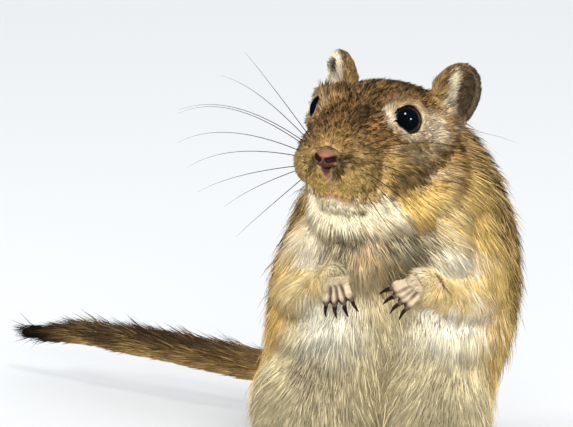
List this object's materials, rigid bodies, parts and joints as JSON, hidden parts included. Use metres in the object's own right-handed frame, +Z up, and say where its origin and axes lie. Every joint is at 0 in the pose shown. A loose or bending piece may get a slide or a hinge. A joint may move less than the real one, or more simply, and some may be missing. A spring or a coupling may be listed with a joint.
{
  "type": "gerbil",
  "caption": "Life-size model of a gerbil that sits up on its haunches, with its forepaws held at the chest, its head turned a little and its tail stretched out to one side.",
  "frame": {"origin": "on the floor, in the middle of the flat under the rump on which the animal sits", "axes": "+Z up, -Y the way the chest faces, +X to the animal's own left; the tail stretches towards -X"},
  "size_m": [0.1192, 0.1021, 0.0863],
  "materials": {
    "fur": "short agouti fur, golden brown with dark tips",
    "pale_fur": "soft cream fur with grey roots",
    "bare_skin": "thin skin with very short hair",
    "claw": "dark horn",
    "eye": "wet black"
  },
  "bodies": {
    "root": {"ear_left": "bare_skin", "ear_right": "bare_skin", "eye_left": "eye", "eye_right": "eye", "fore_claw_left_1": "claw", "fore_claw_left_2": "claw", "fore_claw_left_3": "claw", "fore_claw_left_4": "claw", "fore_claw_right_1": "claw", "fore_claw_right_2": "claw", "fore_claw_right_3": "claw", "fore_claw_right_4": "claw", "foreleg_left": "fur", "foreleg_right": "fur", "forepaw_left": "bare_skin", "forepaw_right": "bare_skin", "head": "fur", "hind_claw_left_1": "claw", "hind_claw_left_2": "claw", "hind_claw_left_3": "claw", "hind_claw_left_4": "claw", "hind_claw_left_5": "claw", "hind_claw_right_1": "claw", "hind_claw_right_2": "claw", "hind_claw_right_3": "claw", "hind_claw_right_4": "claw", "hind_claw_right_5": "claw", "hind_foot_left": "bare_skin", "hind_foot_right": "bare_skin", "neck": "fur", "nose": "bare_skin", "tail_base": "fur", "tail_brush": "fur", "tail_middle": "fur", "thigh_left": "fur", "thigh_right": "fur", "torso": "pale_fur"}
  },
  "joints": []
}
